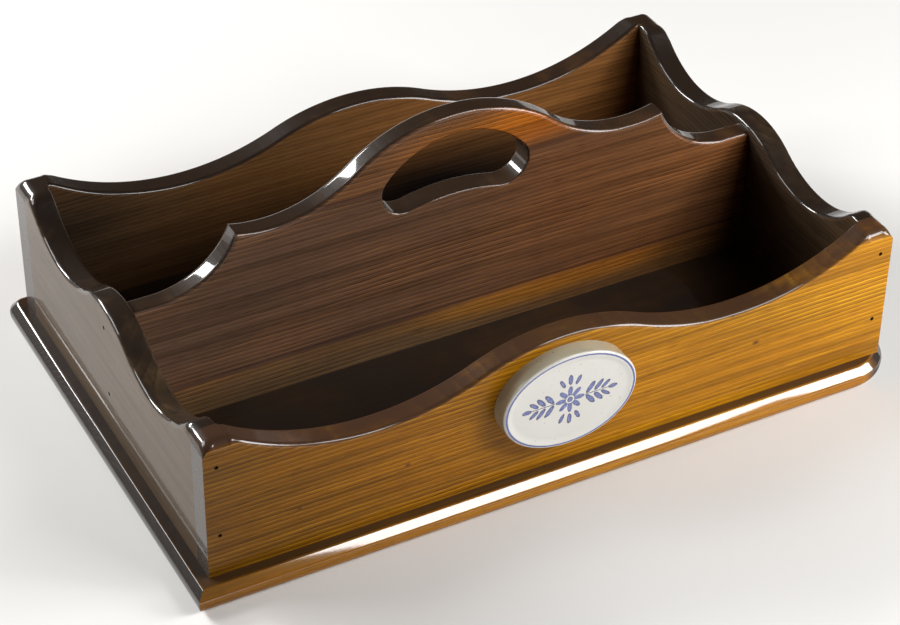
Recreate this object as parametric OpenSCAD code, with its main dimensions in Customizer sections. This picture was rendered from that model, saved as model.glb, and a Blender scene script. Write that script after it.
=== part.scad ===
// Knife tray: two compartments, a pierced handle board and a glazed plaque.
// Millimetres, +Z up. The origin is on the floor under the middle of the base board.

/* [Box] */
// Length of the front and back boards, which is the length of the box
box_length = 400; // [370:1:430]
// Depth of the box over the outer faces of the front and back boards
box_depth = 254; // [236:1:276]
// Thickness of the front and back boards
side_thickness = 14; // [12:0.5:16]
// Thickness of the two end boards
end_thickness = 14; // [12:0.5:16]
// Radius of the roundover along the top edges of the boards
edge_round = 2.5; // [1.5:0.25:3.5]

/* [Base board] */
// Thickness of the base board, whose edges are a full half round
base_thickness = 14; // [12:0.5:16]
// How far the base board stands out past the box on all four sides
base_overhang = 10; // [10:0.5:14]
// Radius in plan of the base board's well rounded right corners
right_corner_radius = 28; // [22:0.5:30]
// Radius in plan of the base board's back left corner
back_corner_radius = 9; // [5:0.5:14]
// Radius in plan of the base board's crisp front left corner
crisp_corner_radius = 3; // [1:0.5:6]

/* [Front and back tops] */
// Height of the four corner ears above the base board
ear_rise = 84; // [80:0.5:90]
// Radius of the ears' corners on the front and back boards
ear_radius = 7; // [5:0.5:8]
// How far the centre crest of the front and back boards lies below the ears
side_crest_drop = 2; // [0.5:0.5:6]
// How far the dips of the front and back boards lie below the ears
side_dip_drop = 24; // [18:0.5:30]
// Distance of the front and back boards' dips from the middle
side_dip_offset = 105; // [95:1:115]

/* [End tops] */
// How far the centre crest of the end boards lies below the ears
end_crest_drop = 2; // [0.5:0.5:4]
// How far the dips of the end boards lie below the ears
end_dip_drop = 19.5; // [15:0.5:24]
// Distance of the end boards' dips from the middle
end_dip_offset = 62; // [56:1:68]
// Radius of the end boards' ears
end_ear_radius = 12; // [9:0.5:14]
// Length of the level top of the end boards' ears, up to the front and back boards
end_ear_level = 3; // [1:0.5:5]

/* [Divider] */
// Thickness of the divider
divider_thickness = 14; // [12:0.5:16]
// Depth of the housing that holds the divider in each end board
housing_depth = 5; // [3:0.5:7]
// Height of the handle's crest above the base board
handle_rise = 145; // [138:0.5:154]
// Height of the dips beside the handle above the base board
handle_dip_rise = 106; // [100:0.5:110]
// Distance of the dips beside the handle from the middle
handle_dip_offset = 108; // [100:1:114]
// Distance of the pointed cusps from the middle
cusp_offset = 127.5; // [122:0.5:134]
// How far the divider's ends lie below the centre crest of the end boards
divider_end_drop = 4; // [3.5:0.5:10]
// Distance from the middle at which the scoops outside the cusps run level
scoop_offset = 172; // [164:1:176]

/* [Hand hole] */
// Length of the hand hole
hole_length = 87; // [80:1:96]
// Height of the lowest part of the hand hole above the base board
hole_floor_rise = 91.5; // [88:0.5:95]
// Height of the hand hole from its lowest part to its top
hole_height = 41; // [37:0.5:44]
// Radius of the hand hole's round ends
hole_end_radius = 13.5; // [11:0.5:15]
// Height of the swell in the middle of the hand hole's lower edge
hole_swell = 3.7; // [2:0.1:5]
// Radius of the eased edges of the hand hole
hole_round = 1.5; // [1:0.25:2]

/* [Plaque] */
// Length of the oval plaque
plaque_length = 78; // [70:1:86]
// Height of the oval plaque
plaque_height = 57.5; // [50:0.5:58]
// Thickness of the plaque, which stands proud of the front board by this much
plaque_thickness = 10; // [7:0.5:10]
// Height of the middle of the plaque above the base board
plaque_rise = 47.5; // [44:0.5:48]
// Sideways shift of the plaque from the middle of the front board
plaque_shift = -2; // [-6:0.5:6]
// Width of the plaque's raised rim
plaque_rim = 4; // [3:0.5:6]
// Depth of the dished face inside the rim
plaque_dish = 1.4; // [0.8:0.1:2.4]
// Depth of the hollow in the back of the plaque, which holds the glue
glue_depth = 1.5; // [1:0.1:2.5]

/* [Nails and screws] */
// Shank diameter of the nails
nail_diameter = 1.4; // [1.2:0.1:2]
// Length of the nails
nail_length = 36; // [30:1:42]
// Depth to which the nail heads are set below the wood
nail_set = 1.5; // [1:0.25:2.5]
// Height of the lower corner nails above the base board
low_nail_rise = 25.5; // [18:0.5:34]
// Height of the upper corner nails above the base board
high_nail_rise = 69; // [60:0.5:71]
// Shank diameter of the base screws
screw_diameter = 3.5; // [3:0.1:4]
// Length of the base screws over the head
screw_length = 32; // [26:1:40]
// Depth to which the screw heads lie under the base board's lower face
screw_set = 1; // [0.5:0.25:2]
// Distance from the middle of the outer screws along the front and back boards
screw_span = 150; // [120:1:165]
// Distance from the middle of the two screws under the divider
divider_screw_span = 90; // [60:1:120]
// Clearance round each nail, screw and housed divider end
fit_clearance = 0.1; // [0.05:0.05:0.2]

/* [Hidden] */

honey_wood = "#b9761f";
brown_wood = "#7a4a26";
glazed_white = "#e9e6dd";
glue_grey = "#b8b2a4";
nail_steel = "#6d6a66";
screw_brass = "#b08d3c";

round_steps = 3;
hole_steps = 30;
crest_share = 0.45;
handle_share = 0.555;
crest_steps = 8;
dip_steps = 8;
ear_steps = 6;
corner_steps = 6;
edge_steps = 12;
least_radius = 0.4;
scoop_steps = 8;
cut_past = 1;
base_round = base_thickness / 2;
half_length = box_length / 2;
half_depth = box_depth / 2;
base_half_length = half_length + base_overhang;
base_half_depth = half_depth + base_overhang;
inner_half_length = half_length - end_thickness;
inner_half_depth = half_depth - side_thickness;
side_crest_rise = ear_rise - side_crest_drop;
side_dip_rise = ear_rise - side_dip_drop;
end_crest_rise = ear_rise - end_crest_drop;
end_dip_rise = ear_rise - end_dip_drop;
divider_end_rise = end_crest_rise - divider_end_drop;
even_round = [[edge_round, 1], [edge_round, 1]];
ear_swell = ear_radius - 1;
nail_head_diameter = 1.5 * nail_diameter;
nail_head_height = 1;
nail_point = 2 * nail_diameter;
screw_head_diameter = 2 * screw_diameter;
screw_point = 2 * screw_diameter;
screw_slot = 0.8;
glue_gap = 0.3;
plaque_round = 1.5;
oval_steps = 60;

// Two arcs that meet smoothly, one over a crest and one in a dip, have radii that add up to this.
// It is also the radius of a scoop that starts at a point and ends level.
function radius_sum(run, drop) = (run * run + drop * drop) / (2 * drop);

// Radius of the hollow arc that starts level at a dip and runs smoothly into a round ear.
function dip_to_ear(run, rise, ear) = (run * run + rise * rise - ear * ear) / (2 * (rise + ear));

// Edge points along an arc without its last point. Each has the way that faces out of the wood,
// and for its outer and inner edges the radius of the roundover and the share of its depth.
// The outer radius swells along the arc from the common roundover by swell.
function arc_edge(centre, radius, from, to, steps, hollow = false, swell = 0) = [
    for (i = [0 : steps - 1])
        let (
            angle = from + (to - from) * i / steps,
            ray = [cos(angle), sin(angle)],
            outer = edge_round + swell * i / steps
        )
            [centre + radius * ray, hollow ? -ray : ray, [[outer, 1], [edge_round, 1]]]
];

function flipped(v) = [-v[0], v[1]];

// The whole edge from its right half, which starts in the middle.
function both_halves(half) = concat(
    [for (i = [len(half) - 1 : -1 : 1]) [flipped(half[i][0]), flipped(half[i][1]), half[i][2]]],
    half
);

// Crest and dips of a serpentine top, from the middle to the bottom of the right dip.
function crest_and_dip(crest, dip, run) =
    let (
        sum = radius_sum(run, crest - dip),
        crest_radius = crest_share * sum,
        dip_radius = sum - crest_radius,
        crest_centre = [0, crest - crest_radius],
        dip_centre = [run, dip + dip_radius],
        lean = atan2(run, dip_centre[1] - crest_centre[1])
    )
    concat(
        arc_edge(crest_centre, crest_radius, 90, 90 - lean, crest_steps),
        arc_edge(dip_centre, dip_radius, 270 - lean, 270, dip_steps, true)
    );

// From the bottom of a dip up to the top of the ear beside it, whose highest point is at ear_offset.
// The outer roundover grows over the ear by swell.
function dip_and_ear(dip, run, ear_top, ear_offset, radius, swell) =
    let (
        ear_centre = [ear_offset, ear_top - radius],
        dip_radius = dip_to_ear(ear_offset - run, ear_centre[1] - dip, radius),
        lean = atan2(ear_offset - run, dip + dip_radius - ear_centre[1])
    )
    concat(
        arc_edge([run, dip + dip_radius], dip_radius, 270, 270 + lean, dip_steps, true),
        arc_edge(ear_centre, radius, 90 + lean, 90, ear_steps, false, swell)
    );

// Edge of the front and back boards. Over the end boards only the outer edge is rounded.
// There it makes a dome of the ear, and it runs out round the ear's corner.
function side_edge() =
    let (corner = [half_length - ear_radius, ear_rise - ear_radius])
    both_halves(concat(
        crest_and_dip(side_crest_rise, side_dip_rise, side_dip_offset),
        dip_and_ear(
            side_dip_rise, side_dip_offset, ear_rise, inner_half_length, ear_radius, ear_swell - edge_round
        ),
        [[[inner_half_length, ear_rise], [0, 1], [[ear_swell, 1], [edge_round, 0]]]],
        [
            for (i = [0 : ear_steps])
                let (angle = 90 - 90 * i / ear_steps, ray = [cos(angle), sin(angle)])
                    [corner + ear_radius * ray, ray, [[ear_swell, 1 - i / ear_steps], [edge_round, 0]]]
        ]
    ));

// Edge of the end boards, which run between the front and back boards. Their outer roundover
// swells to the radius of the ears' corners and runs on into them.
function end_edge() =
    let (ear_offset = inner_half_depth - end_ear_level, full = [[ear_radius, 1], [edge_round, 1]])
    both_halves(concat(
        crest_and_dip(end_crest_rise, end_dip_rise, end_dip_offset),
        dip_and_ear(
            end_dip_rise, end_dip_offset, ear_rise, ear_offset, end_ear_radius, ear_radius - edge_round
        ),
        [[[ear_offset, ear_rise], [0, 1], full]],
        [[[inner_half_depth, ear_rise], [0, 1], full]]
    ));

// Edge of the divider: handle, dips, pointed cusps, scoops and level ends in the housings.
function divider_edge() =
    let (
        sum = radius_sum(handle_dip_offset, handle_rise - handle_dip_rise),
        handle_radius = handle_share * sum,
        dip_radius = sum - handle_radius,
        handle_centre = [0, handle_rise - handle_radius],
        dip_centre = [handle_dip_offset, handle_dip_rise + dip_radius],
        lean = atan2(handle_dip_offset, dip_centre[1] - handle_centre[1]),
        cusp_lean = asin((cusp_offset - handle_dip_offset) / dip_radius),
        cusp = dip_centre + dip_radius * [sin(cusp_lean), -cos(cusp_lean)],
        scoop = radius_sum(scoop_offset - cusp[0], cusp[1] - divider_end_rise),
        scoop_centre = [scoop_offset, divider_end_rise + scoop],
        scoop_from = atan2(cusp[1] - scoop_centre[1], cusp[0] - scoop_centre[0]) + 360,
        inward = (dip_centre - cusp) / dip_radius,
        outward = (scoop_centre - cusp) / scoop,
        mitre = (inward + outward) / (1 + inward * outward),
        scoop_edge = arc_edge(scoop_centre, scoop, scoop_from, 270, scoop_steps, true)
    )
    both_halves(concat(
        arc_edge(handle_centre, handle_radius, 90, 90 - lean, 2 * crest_steps),
        arc_edge(dip_centre, dip_radius, 270 - lean, 270 + cusp_lean, 2 * dip_steps, true),
        [[cusp, mitre, even_round]],
        [for (i = [1 : scoop_steps - 1]) scoop_edge[i]],
        [[[scoop_offset, divider_end_rise], [0, 1], even_round]],
        [[[divider_half_length(), divider_end_rise], [0, 1], even_round]]
    ));

function divider_half_length() = inner_half_length + housing_depth - fit_clearance;

// Outline of a board across its length at one edge point: up the outer face, over the rounded
// top and down the inner face. It is used as a ring of the board's skin.
function board_ring(point, thick) = concat(
    [[point[0][0], -thick / 2, 0]],
    [
        for (side = [-1, 1], k = [0 : round_steps])
            let (
                angle = side < 0 ? 90 - 90 * k / round_steps : 90 * k / round_steps,
                round = point[2][side < 0 ? 0 : 1],
                place = point[0] - point[1] * round[1] * round[0] * (1 - cos(angle)),
                out = thick / 2 - round[0] * (1 - sin(angle))
            )
                [place[0], side * out, place[1]]
    ],
    [[point[0][0], thick / 2, 0]]
);

// Triangles of a skin over rings of the same size, closed round each ring.
function skin(rings, size) = [
    for (i = [0 : rings - 2], j = [0 : size - 1])
        let (a = i * size + j, b = i * size + (j + 1) % size)
            each [[a, b, a + size], [b, b + size, a + size]]
];

// Triangles that close the first or the last ring of a skin from the ring's first point.
function end_cap(first, size, last) = [
    for (j = [1 : size - 2])
        last ? [first, first + j, first + j + 1] : [first, first + j + 1, first + j]
];

// A board that stands along X with its outer face towards -Y and its lower edge at Z = 0.
module shaped_board(edge, thick) {
    size = 4 + 2 * round_steps;
    count = len(edge);
    polyhedron(
        [for (point = edge) each board_ring(point, thick)],
        concat(
            skin(count, size),
            end_cap(0, size, false),
            end_cap((count - 1) * size, size, true)
        )
    );
}

// Arcs of the hand hole: round ends, an arched top and a swell in the lower edge.
hole_end_centre = [hole_length / 2 - hole_end_radius, hole_floor_rise + hole_end_radius];
hole_crown = hole_floor_rise + hole_height;
hole_top_radius = (pow(hole_end_centre[0], 2) + pow(hole_crown - hole_end_centre[1], 2)
    - pow(hole_end_radius, 2)) / (2 * (hole_crown - hole_end_centre[1] - hole_end_radius));
hole_swell_radius = (pow(hole_end_centre[0], 2) + pow(hole_end_radius - hole_swell, 2)
    - pow(hole_end_radius, 2)) / (2 * hole_swell);
hole_top_centre = [0, hole_crown - hole_top_radius];
hole_swell_centre = [0, hole_floor_rise + hole_swell - hole_swell_radius];

// Point of the hand hole's upper or lower edge at x, with the way that faces into the wood.
function hole_point(x, upper) =
    let (
        end = [sign(x) * hole_end_centre[0], hole_end_centre[1]],
        middle = upper ? hole_top_centre : hole_swell_centre,
        radius = upper ? hole_top_radius : hole_swell_radius,
        reach = norm(hole_end_centre - middle),
        meeting = hole_end_centre[0] * radius / reach,
        in_end = abs(x) > meeting,
        centre = in_end ? end : middle,
        size = in_end ? hole_end_radius : radius,
        lift = sqrt(max(0, size * size - pow(x - centre[0], 2))),
        down = in_end && !upper,
        point = [x, centre[1] + (down ? -lift : lift)],
        ray = (point - centre) / size
    )
    [point, !in_end && !upper ? -ray : ray];

// Loop of the hand hole from its right end: along the top and back along the lower edge.
hole_loop = concat(
    [for (i = [0 : hole_steps]) hole_point(hole_length / 2 * cos(180 * i / hole_steps), true)],
    [for (i = [1 : hole_steps - 1]) hole_point(-hole_length / 2 * cos(180 * i / hole_steps), false)]
);

function hole_ring(y, flare) = [
    for (p = hole_loop)
        let (place = p[0] + flare * p[1])
            [place[0], y, place[1]]
];

// Triangles that close the hole's loop by joining its upper and lower points in columns.
function hole_cap(first, last) = [
    for (i = [0 : hole_steps - 1])
        let (
            count = 2 * hole_steps,
            a = first + i,
            b = first + i + 1,
            c = first + (count - i - 1) % count,
            d = first + (count - i) % count,
            near = [[a, b, c], [a, c, d]]
        )
            for (t = near)
                if (t[0] != t[2] && t[1] != t[2])
                    last ? t : [t[0], t[2], t[1]]
];

// The shape that the hand hole takes out of the divider, flared at both faces.
module hand_hole() {
    size = 2 * hole_steps;
    half = divider_thickness / 2;
    levels = concat(
        [[-half - cut_past, hole_round]],
        [
            for (k = [0 : round_steps])
                let (angle = 90 - 90 * k / round_steps)
                    [-half + hole_round * (1 - sin(angle)), hole_round * (1 - cos(angle))]
        ],
        [
            for (k = [0 : round_steps])
                let (angle = 90 * k / round_steps)
                    [half - hole_round * (1 - sin(angle)), hole_round * (1 - cos(angle))]
        ],
        [[half + cut_past, hole_round]]
    );
    polyhedron(
        [for (level = levels) each hole_ring(level[0], level[1])],
        concat(
            skin(len(levels), size),
            hole_cap(0, false),
            hole_cap((len(levels) - 1) * size, true)
        )
    );
}

// Moves to the upper face of the base board.
module on_base() {
    translate([0, 0, base_thickness])
        children();
}

// A nail driven along +Y from a face at Y = 0, with its head set below that face.
module nail() {
    translate([0, nail_set, 0])
        rotate([-90, 0, 0]) {
            cylinder(h = nail_head_height, d = nail_head_diameter, $fn = 32);
            cylinder(h = nail_length - nail_point, d = nail_diameter, $fn = 32);
            translate([0, 0, nail_length - nail_point])
                cylinder(h = nail_point, d1 = nail_diameter, d2 = 0.2 * nail_diameter, $fn = 32);
        }
}

// The hole that a nail fills, open at the face it is driven through.
module nail_hole() {
    rotate([-90, 0, 0]) {
        translate([0, 0, -cut_past])
            cylinder(
                h = cut_past + nail_set + nail_head_height + fit_clearance,
                d = nail_head_diameter + 2 * fit_clearance,
                $fn = 32
            );
        cylinder(
            h = nail_set + nail_length + fit_clearance,
            d = nail_diameter + 2 * fit_clearance,
            $fn = 32
        );
    }
}

// Nails through the front board into the middle of the end boards' thickness.
module at_corner_nails() {
    for (side = [-1, 1], rise = [low_nail_rise, high_nail_rise])
        translate([side * (half_length - end_thickness / 2), -half_depth, base_thickness + rise])
            children();
}

// Nails through the end boards into the divider.
module at_divider_nails() {
    for (turn = [-90, 90], rise = [low_nail_rise, high_nail_rise])
        rotate([0, 0, turn])
            translate([0, -half_length, base_thickness + rise])
                children();
}

// Screws up through the base board: three under the front and back boards, one under the middle
// of each end board's front and back half, and two under the divider.
module at_base_screws() {
    side_line = half_depth - side_thickness / 2;
    end_line = half_length - end_thickness / 2;
    for (x = [-screw_span, 0, screw_span], y = [-side_line, side_line])
        translate([x, y, 0])
            children();
    for (x = [-end_line, end_line], y = [-end_dip_offset, end_dip_offset])
        translate([x, y, 0])
            children();
    for (x = [-divider_screw_span, divider_screw_span])
        translate([x, 0, 0])
            children();
}

// A slotted countersunk wood screw that points up, with its head under the base board's lower face.
module base_screw() {
    head_height = (screw_head_diameter - screw_diameter) / 2;
    translate([0, 0, screw_set])
        difference() {
            union() {
                cylinder(h = head_height, d1 = screw_head_diameter, d2 = screw_diameter, $fn = 48);
                cylinder(h = screw_length - screw_point, d = screw_diameter, $fn = 48);
                translate([0, 0, screw_length - screw_point])
                    cylinder(h = screw_point, d1 = screw_diameter, d2 = 0.2 * screw_diameter, $fn = 48);
            }
            translate([-screw_head_diameter, -screw_slot / 2, -cut_past])
                cube([2 * screw_head_diameter, screw_slot, cut_past + 0.4 * head_height]);
        }
}

// The countersunk hole that a base screw fills.
module screw_hole() {
    head_height = (screw_head_diameter - screw_diameter) / 2;
    translate([0, 0, -cut_past])
        cylinder(h = cut_past + screw_set, d = screw_head_diameter + 2 * fit_clearance, $fn = 48);
    translate([0, 0, screw_set])
        cylinder(
            h = head_height,
            d1 = screw_head_diameter + 2 * fit_clearance,
            d2 = screw_diameter + 2 * fit_clearance,
            $fn = 48
        );
    cylinder(
        h = screw_set + screw_length + fit_clearance,
        d = screw_diameter + 2 * fit_clearance,
        $fn = 48
    );
}

// The space that a divider end takes up in an end board, open at the bottom and the inner face.
module housing() {
    width = divider_thickness + 2 * fit_clearance;
    top = divider_end_rise + fit_clearance;
    section = [
        for (point = board_ring([[0, top], [0, 1], even_round], width)) [point[1], point[2]]
    ];
    rotate([90, 0, 90])
        linear_extrude(height = housing_depth + cut_past)
            polygon([for (p = section) [p[0], p[1] > 0 ? p[1] : -cut_past]]);
}

// Corners of the base board as seen from above, clockwise from the back left one: the sides they
// lie on, the radius in plan and the way in which the arc starts.
base_corners = [
    [-1, 1, back_corner_radius, 180],
    [1, 1, right_corner_radius, 90],
    [1, -1, right_corner_radius, 0],
    [-1, -1, crisp_corner_radius, -90]
];

// Outline of the base board at one height, drawn in by an inset on all sides.
function base_ring(inset, z) = [
    for (corner = base_corners, k = [0 : corner_steps])
        let (
            radius = max(corner[2] - inset, least_radius),
            angle = corner[3] - 90 * k / corner_steps,
            centre = [
                corner[0] * (base_half_length - inset - radius),
                corner[1] * (base_half_depth - inset - radius)
            ]
        )
            [centre[0] + radius * cos(angle), centre[1] + radius * sin(angle), z]
];

// The base board's blank, with a half round on all its edges.
module base_blank() {
    size = 4 * (corner_steps + 1);
    polyhedron(
        [
            for (i = [0 : edge_steps])
                let (angle = -90 + 180 * i / edge_steps)
                    each base_ring(base_round * (1 - cos(angle)), base_round * (1 + sin(angle)))
        ],
        concat(
            skin(edge_steps + 1, size),
            end_cap(0, size, false),
            end_cap(edge_steps * size, size, true)
        )
    );
}

module base_board() {
    color(honey_wood)
        difference() {
            base_blank();
            at_base_screws()
                screw_hole();
        }
}

// The board at the front of the box, which the back board repeats without the plaque.
module side_board() {
    difference() {
        translate([0, -half_depth + side_thickness / 2, base_thickness])
            shaped_board(side_edge(), side_thickness);
        at_corner_nails()
            nail_hole();
        at_base_screws()
            screw_hole();
    }
}

module front_board() {
    color(honey_wood)
        side_board();
}

module back_board() {
    color(brown_wood)
        rotate([0, 0, 180])
            side_board();
}

// The board at the left end of the box, with the housing for the divider in its inner face.
module end_board() {
    difference() {
        rotate([0, 0, -90])
            translate([0, -half_length + end_thickness / 2, base_thickness])
                shaped_board(end_edge(), end_thickness);
        translate([-inner_half_length - housing_depth, 0, base_thickness])
            housing();
        for (turn = [0, 180])
            rotate([0, 0, turn])
                at_corner_nails()
                    nail_hole();
        at_divider_nails()
            nail_hole();
        at_base_screws()
            screw_hole();
    }
}

module left_end() {
    color(brown_wood)
        end_board();
}

module right_end() {
    color(brown_wood)
        rotate([0, 0, 180])
            end_board();
}

module divider() {
    color(brown_wood)
        difference() {
            on_base()
                difference() {
                    shaped_board(divider_edge(), divider_thickness);
                    hand_hole();
                }
            at_divider_nails()
                nail_hole();
            at_base_screws()
                screw_hole();
        }
}

// Loop of the oval plaque's outline, drawn in by an inset on all sides, at a distance out from
// the front board.
function oval_ring(inset, out) = [
    for (i = [0 : oval_steps - 1])
        let (
            angle = -360 * i / oval_steps,
            reach = [plaque_length / 2, plaque_height / 2],
            slope = [reach[1] * cos(angle), reach[0] * sin(angle)],
            facing = slope / norm(slope)
        )
            [
                plaque_shift + reach[0] * cos(angle) - inset * facing[0],
                -half_depth - out,
                base_thickness + plaque_rise + reach[1] * sin(angle) - inset * facing[1]
            ]
];

// An oval solid skinned over loops, each given as its inset and its distance from the board.
module oval_solid(loops) {
    polyhedron(
        [for (loop = loops) each oval_ring(loop[0], loop[1])],
        concat(
            skin(len(loops), oval_steps),
            end_cap(0, oval_steps, false),
            end_cap((len(loops) - 1) * oval_steps, oval_steps, true)
        )
    );
}

// The plaque: hollow back, round outer edge, raised rim and dished face.
module plaque() {
    color(glazed_white)
        oval_solid(concat(
            [[plaque_rim, glue_depth], [plaque_rim, 0], [0, 0]],
            [
                for (k = [0 : round_steps])
                    let (angle = 90 * k / round_steps)
                        [
                            plaque_round * (1 - cos(angle)),
                            plaque_thickness - plaque_round * (1 - sin(angle))
                        ]
            ],
            [
                [plaque_rim, plaque_thickness],
                [plaque_rim + plaque_dish, plaque_thickness - plaque_dish]
            ]
        ));
}

// The glue in the hollow back of the plaque.
module plaque_glue() {
    color(glue_grey)
        oval_solid([[plaque_rim + glue_gap, 0], [plaque_rim + glue_gap, glue_depth]]);
}

module front_nails() {
    color(nail_steel)
        at_corner_nails()
            nail();
}

module back_nails() {
    color(nail_steel)
        rotate([0, 0, 180])
            at_corner_nails()
                nail();
}

module divider_nails() {
    color(nail_steel)
        at_divider_nails()
            nail();
}

module base_screws() {
    color(screw_brass)
        at_base_screws()
            base_screw();
}

base_board();
front_board();
back_board();
left_end();
right_end();
divider();
plaque();
plaque_glue();
front_nails();
back_nails();
divider_nails();
base_screws();
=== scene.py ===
import math

import bmesh
import bpy
from mathutils import Matrix, Vector


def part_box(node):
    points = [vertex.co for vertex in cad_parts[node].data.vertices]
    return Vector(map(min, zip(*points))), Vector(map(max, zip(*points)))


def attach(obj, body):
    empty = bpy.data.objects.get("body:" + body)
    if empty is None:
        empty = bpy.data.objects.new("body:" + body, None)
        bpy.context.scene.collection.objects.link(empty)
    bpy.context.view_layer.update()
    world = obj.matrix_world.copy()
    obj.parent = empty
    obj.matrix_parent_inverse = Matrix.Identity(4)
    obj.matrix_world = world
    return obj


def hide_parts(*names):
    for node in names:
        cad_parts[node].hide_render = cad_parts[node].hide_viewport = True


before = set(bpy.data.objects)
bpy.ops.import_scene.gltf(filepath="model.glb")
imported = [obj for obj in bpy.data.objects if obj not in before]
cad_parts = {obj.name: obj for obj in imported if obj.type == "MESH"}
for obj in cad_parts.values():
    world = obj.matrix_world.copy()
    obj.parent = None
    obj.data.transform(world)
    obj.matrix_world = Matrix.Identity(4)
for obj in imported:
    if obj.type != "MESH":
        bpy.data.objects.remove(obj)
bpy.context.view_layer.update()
print("frame loaded with", len(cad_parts), "nodes")

mm = 0.001  # the dictionaries below are in millimetres and degrees, where nothing else is said
tiny = 1e-6  # metres, between places that are the same
proud = 1 * mm  # a plug starts this far outside the face that it cuts
arcLook = dict(least=3, chord=1.6, turn=0.09)  # steps of an arc, turn in radians


# mesh helpers

def inMetres(look):  # a share is a plain ratio
    return {key: value if key == "share" else value * mm for key, value in look.items()}


def meshFrom(name, bm):
    mesh = bpy.data.meshes.new(name)
    bm.to_mesh(mesh)
    bm.free()
    return mesh


def linked(name, data):
    made = bpy.data.objects.new(name, data)
    bpy.context.scene.collection.objects.link(made)
    return made


def newPiece(name, bm, material, node):
    bmesh.ops.recalc_face_normals(bm, faces=bm.faces[:])
    mesh = meshFrom(name, bm)
    piece = linked(name, mesh)
    mesh.materials.append(material)
    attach(piece, "root")
    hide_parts(node)
    return piece


def softNormals(piece, sharpAngle=35):
    mesh = piece.data
    for face in mesh.polygons:
        face.use_smooth = True
    mesh.set_sharp_from_angle(angle=math.radians(sharpAngle))
    weighted = piece.modifiers.new("even normals", "WEIGHTED_NORMAL")
    weighted.keep_sharp = True
    weighted.weight = 80


def cutHoles(piece, cutters):  # cutters is a mesh of closed plugs
    mesh = meshFrom("plugs", cutters)
    plugs = linked("plugs", mesh)
    cut = piece.modifiers.new("holes", "BOOLEAN")
    cut.operation = "DIFFERENCE"
    cut.solver = "EXACT"
    cut.object = plugs
    whole = piece.data
    finished = piece.evaluated_get(bpy.context.evaluated_depsgraph_get())
    piece.data = bpy.data.meshes.new_from_object(finished)
    piece.modifiers.clear()
    bpy.data.objects.remove(plugs)
    bpy.data.meshes.remove(mesh)
    bpy.data.meshes.remove(whole)


def addPlug(bm, place, along, length, diameter, farDiameter=None):  # a closed cone or cylinder from place
    turn = Vector(along).to_track_quat("Z", "Y").to_matrix().to_4x4()
    centre = Vector(place) + Vector(along).normalized() * length / 2
    bmesh.ops.create_cone(bm, cap_ends=True, segments=24, radius1=diameter / 2,
                          radius2=(farDiameter or diameter) / 2, depth=length,
                          matrix=Matrix.Translation(centre) @ turn)


def arcTo(bm, vert, centre, turn):  # carries the outline round a centre, turn in radians
    radius = (Vector((vert.co.x, vert.co.z)) - Vector(centre)).length
    steps = max(arcLook["least"], round(abs(turn) * radius / (arcLook["chord"] * mm)),
                round(abs(turn) / arcLook["turn"]))
    made = bmesh.ops.spin(bm, geom=[vert], cent=(centre[0], 0, centre[1]), axis=(0, -1, 0),
                          angle=turn, steps=steps)
    return [g for g in made["geom_last"] if isinstance(g, bmesh.types.BMVert)][0]


def lineTo(bm, vert, x, z):
    made = bmesh.ops.extrude_vert_indiv(bm, verts=[vert])
    made["verts"][0].co = (x, 0, z)
    return made["verts"][0]


def closeLine(bm, last, first):
    bmesh.ops.contextual_create(bm, geom=[last, first])


def mirrorHalf(bm, keepSeam=False):  # the outline's right half becomes a whole flat face
    bmesh.ops.contextual_create(bm, geom=bm.edges[:])
    bmesh.ops.mirror(bm, geom=bm.verts[:] + bm.edges[:] + bm.faces[:], axis="X", merge_dist=tiny)
    bmesh.ops.remove_doubles(bm, verts=bm.verts[:], dist=tiny)
    seam = [e for e in bm.edges if all(abs(v.co.x) < tiny for v in e.verts)]
    if not keepSeam:
        bmesh.ops.dissolve_edges(bm, edges=seam, use_verts=False)


def extruded(bm, faces):  # the far faces of an extrusion, not yet moved
    made = bmesh.ops.extrude_face_region(bm, geom=faces)
    return [g for g in made["geom"] if isinstance(g, bmesh.types.BMFace)]


def thicken(bm, by):  # draws the flat faces out into a solid
    moved = {v for face in extruded(bm, bm.faces[:]) for v in face.verts}
    bmesh.ops.translate(bm, verts=list(moved), vec=by)
    bmesh.ops.recalc_face_normals(bm, faces=bm.faces[:])


def middle(edge):
    return (edge.verts[0].co + edge.verts[1].co) / 2


def rise(edge):
    return abs(edge.verts[0].co.z - edge.verts[1].co.z)


def faceEdges(bm):  # edges that lie in a broad face, front or back
    return [e for e in bm.edges if abs(e.verts[0].co.y - e.verts[1].co.y) < tiny]


def between(value, low, high):  # 0 at low, 1 at high, level outside
    return min(max((value - low) / (high - low), 0), 1)


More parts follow.
